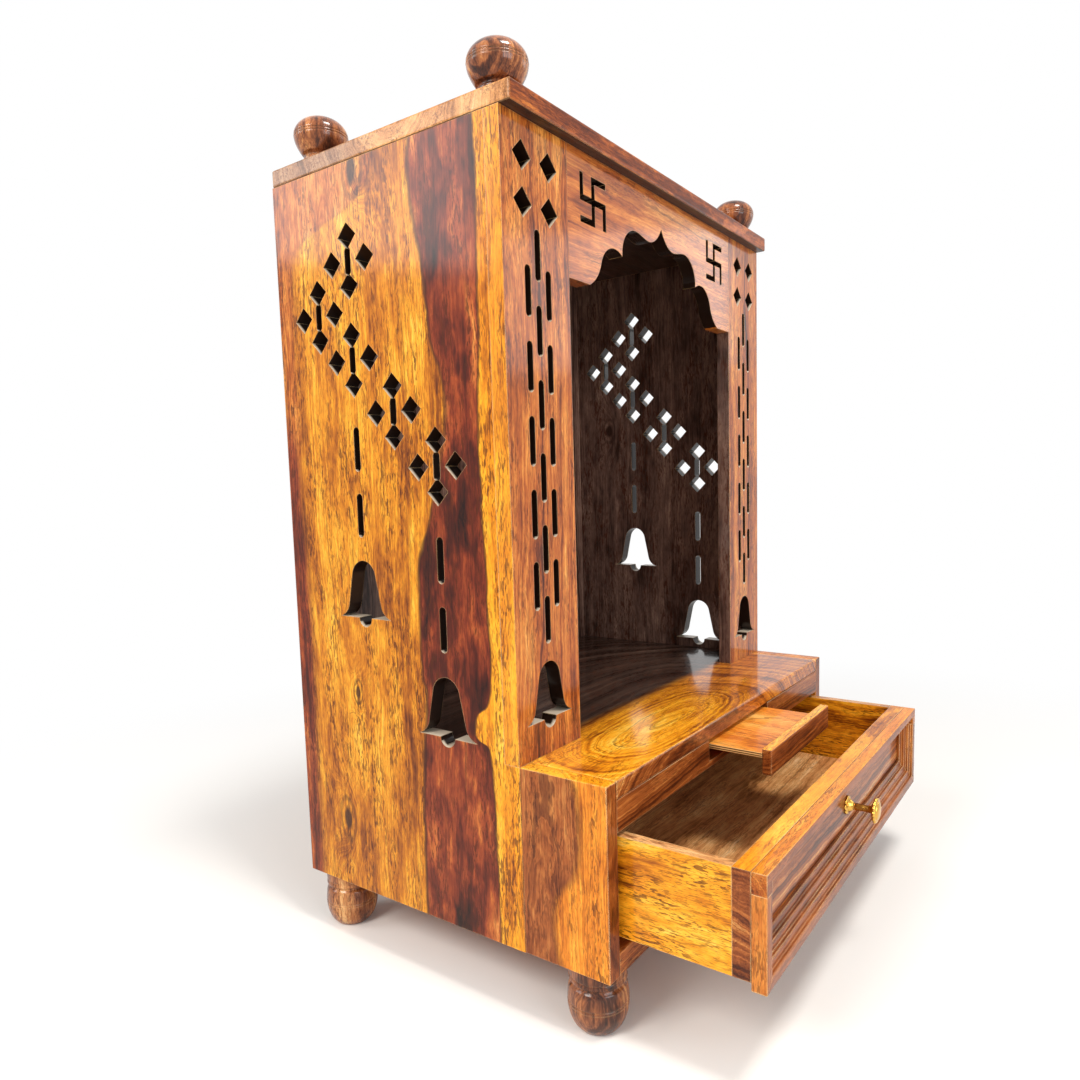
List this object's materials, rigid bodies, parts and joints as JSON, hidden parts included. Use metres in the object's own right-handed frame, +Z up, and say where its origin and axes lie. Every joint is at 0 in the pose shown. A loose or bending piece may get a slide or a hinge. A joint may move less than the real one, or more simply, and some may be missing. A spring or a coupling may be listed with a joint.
{
  "type": "pooja mandir",
  "caption": "Wooden home shrine: pierced sides and arched front over a desk, with a pull-out tray and a drawer below, on turned feet.",
  "frame": {"origin": "on the floor under the middle of the room the mandir takes up with its drawer and tray as pictured", "axes": "+Z up from the floor, -Y out of the front where the arch, drawer and tray are, +X to the viewer's right as the front is faced"},
  "size_m": [0.61, 0.5874, 0.936],
  "materials": {
    "sheesham": "satin lacquer",
    "dark_sheesham": "satin lacquer",
    "turned_sheesham": "gloss lacquer",
    "plywood": "satin lacquer",
    "brass": "polished"
  },
  "bodies": {
    "case": {"side_panel_left": "sheesham", "side_panel_right": "sheesham", "front_stile_left": "sheesham", "front_stile_right": "sheesham", "arch_rail": "sheesham", "roof_board": "sheesham", "desk_board": "sheesham", "base_side_left": "sheesham", "base_side_right": "sheesham", "back_panel": "sheesham", "floor_panel": "sheesham", "apron": "dark_sheesham", "bottom_rail": "dark_sheesham", "drawer_runner_left": "sheesham", "drawer_runner_right": "sheesham", "tray_rail_left": "sheesham", "tray_rail_right": "sheesham", "foot_front_left": "turned_sheesham", "foot_front_right": "turned_sheesham", "foot_back_left": "turned_sheesham", "foot_back_right": "turned_sheesham", "finial_front_left": "turned_sheesham", "finial_front_right": "turned_sheesham", "finial_back_left": "turned_sheesham", "finial_back_right": "turned_sheesham"},
    "drawer": {"drawer_front": "dark_sheesham", "drawer_side_left": "sheesham", "drawer_side_right": "sheesham", "drawer_back": "sheesham", "drawer_bottom": "plywood", "moulding_top": "dark_sheesham", "moulding_bottom": "dark_sheesham", "moulding_left": "dark_sheesham", "moulding_right": "dark_sheesham", "knob_rose": "brass", "knob_head": "brass"},
    "tray": {"tray_board": "plywood", "tray_lip": "sheesham"}
  },
  "joints": [
    {"name": "drawer_slide", "type": "slide", "parent": "case", "child": "drawer", "axis": [0, -1, 0], "range_m": [-0.14, 0.08]},
    {"name": "tray_slide", "type": "slide", "parent": "case", "child": "tray", "axis": [0, -1, 0], "range_m": [-0.054, 0.06]}
  ]
}
